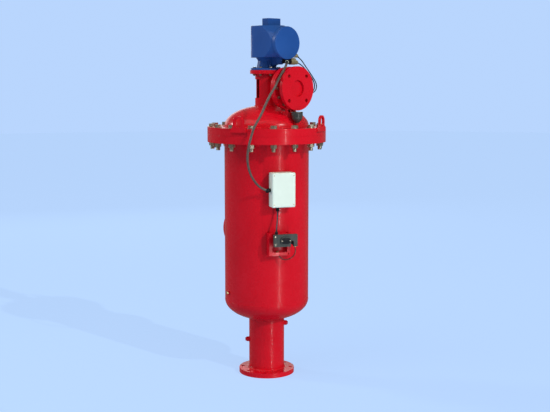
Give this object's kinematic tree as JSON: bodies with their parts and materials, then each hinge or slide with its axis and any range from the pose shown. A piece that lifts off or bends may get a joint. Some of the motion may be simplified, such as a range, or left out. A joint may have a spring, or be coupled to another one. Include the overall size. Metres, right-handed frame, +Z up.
{
  "type": "self cleaning filter",
  "caption": "Flanged upright water filter vessel with a motor driven suction scanner, a window lantern and a flush valve on its dished cover.",
  "frame": {"origin": "centre of the inlet flange face", "axes": "+Z up along the vessel axis, -Y toward the control box, +Y along the outlet pipe"},
  "size_m": [0.7239, 0.742, 2.187],
  "materials": {
    "vessel_red": "gloss paint",
    "drive_blue": "satin paint",
    "zinc_steel": "zinc plated",
    "stainless": "satin",
    "bronze": "machined",
    "brass": "cast",
    "motor_steel": "machined",
    "box_plastic": "moulded",
    "switch_grey": "cast and painted",
    "black_plastic": "moulded",
    "bowl_plastic": "moulded",
    "rubber": "moulded",
    "power_sheath": "extruded",
    "thin_sheath": "extruded",
    "steel_line": "drawn tube"
  },
  "bodies": {
    "root": {"inlet_flange": "vessel_red", "inlet_pipe": "vessel_red", "bottom_head": "vessel_red", "body_shell": "vessel_red", "body_flange": "vessel_red", "outlet_pipe": "vessel_red", "outlet_flange": "vessel_red", "cover_flange": "vessel_red", "cover_dome": "vessel_red", "cover_gasket": "vessel_red", "lifting_lugs": "vessel_red", "lantern": "vessel_red", "flush_leg": "vessel_red", "valve_body": "vessel_red", "flush_flange": "vessel_red", "valve_cover": "vessel_red", "panel_brackets": "vessel_red", "actuator_base": "drive_blue", "actuator_body": "drive_blue", "actuator_cap": "drive_blue", "compartment_cover": "drive_blue", "cover_bolts": "zinc_steel", "cover_nuts": "zinc_steel", "lantern_fasteners": "zinc_steel", "valve_studs": "zinc_steel", "small_screws": "zinc_steel", "valve_spring": "zinc_steel", "screen_frame": "stainless", "screen_mesh": "stainless", "screen_seat": "stainless", "partition_plate": "stainless", "bearing_bushes": "bronze", "drive_nut": "bronze", "socket_plugs": "brass", "brass_fittings": "brass", "ring_gear": "motor_steel", "motor_stator": "motor_steel", "control_box": "box_plastic", "box_lid": "box_plastic", "pressure_switch": "switch_grey", "cable_glands": "black_plastic", "pilot_solenoid": "black_plastic", "limit_switches": "black_plastic", "control_strainer": "bowl_plastic", "seal_rings": "rubber", "valve_diaphragm": "rubber", "power_cable": "power_sheath", "solenoid_cable_1": "thin_sheath", "solenoid_cable_2": "thin_sheath", "switch_cable": "thin_sheath", "impulse_tube": "steel_line"},
    "output": {"output_sleeve": "motor_steel"},
    "scanner": {"collector_tube": "stainless", "suction_nozzles": "stainless", "drive_shaft": "stainless"},
    "planet_1": {"planet_gear_1": "motor_steel"},
    "planet_2": {"planet_gear_2": "motor_steel"},
    "planet_3": {"planet_gear_3": "motor_steel"},
    "rotor": {"motor_rotor": "motor_steel"},
    "plug": {"valve_plug": "vessel_red"}
  },
  "joints": [
    {"name": "output_spin", "type": "hinge", "parent": "root", "child": "output", "pos_m": [0, 0, 1.95], "axis": [0, 0, 1], "range_deg": [0, 1260]},
    {"name": "scanner_travel", "type": "slide", "parent": "output", "child": "scanner", "axis": [0, 0, 1], "range_m": [0, 0.0985]},
    {"name": "planet_1_spin", "type": "hinge", "parent": "output", "child": "planet_1", "pos_m": [0.04275, 0, 2.027], "axis": [0, 0, 1], "range_deg": [-3362, 2]},
    {"name": "planet_2_spin", "type": "hinge", "parent": "output", "child": "planet_2", "pos_m": [-0.02138, 0.03702, 2.027], "axis": [0, 0, 1], "range_deg": [-3362, 2]},
    {"name": "planet_3_spin", "type": "hinge", "parent": "output", "child": "planet_3", "pos_m": [-0.02138, -0.03702, 2.027], "axis": [0, 0, 1], "range_deg": [-3362, 2]},
    {"name": "rotor_spin", "type": "hinge", "parent": "root", "child": "rotor", "pos_m": [0, 0, 2.08], "axis": [0, 0, 1], "range_deg": [-2, 6302]},
    {"name": "flush_plug_travel", "type": "slide", "parent": "root", "child": "plug", "axis": [-0.4226, 0.9063, 0], "range_m": [0, 0.028], "deforming": ["valve_spring", "valve_diaphragm"]}
  ],
  "couplings": [
    {"joint": "scanner_travel", "follows": "output_spin", "m_per_rad": 0.0044563},
    {"joint": "planet_1_spin", "follows": "output_spin", "ratio": -2.6667},
    {"joint": "planet_2_spin", "follows": "output_spin", "ratio": -2.6667},
    {"joint": "planet_3_spin", "follows": "output_spin", "ratio": -2.6667},
    {"joint": "rotor_spin", "follows": "output_spin", "ratio": 5}
  ]
}
